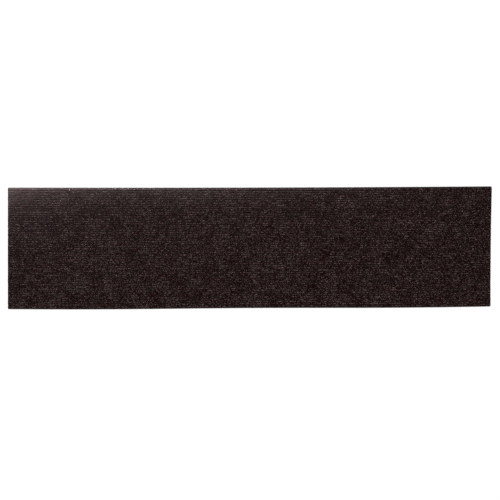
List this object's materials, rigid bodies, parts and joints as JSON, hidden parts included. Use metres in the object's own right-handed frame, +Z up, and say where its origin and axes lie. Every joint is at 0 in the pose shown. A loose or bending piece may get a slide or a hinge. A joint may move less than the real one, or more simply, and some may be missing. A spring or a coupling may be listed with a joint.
{
  "type": "stair tread mat",
  "caption": "Flat oblong stair tread mat of ribbed needle felt on an anti-slip rubber back, laid along a step.",
  "frame": {"origin": "under the middle of the mat, on the face that lies on the stair", "axes": "+X along the mat's length and its ribs, +Y towards the riser behind the step, +Z up out of the ribbed face"},
  "size_m": [0.9144, 0.2286, 0.006],
  "materials": {
    "ribbed_felt": "dark brown melange needle felt, ribbed, matt with a faint sheen"
  },
  "bodies": {
    "root": {"tread_mat": "ribbed_felt"}
  },
  "joints": []
}
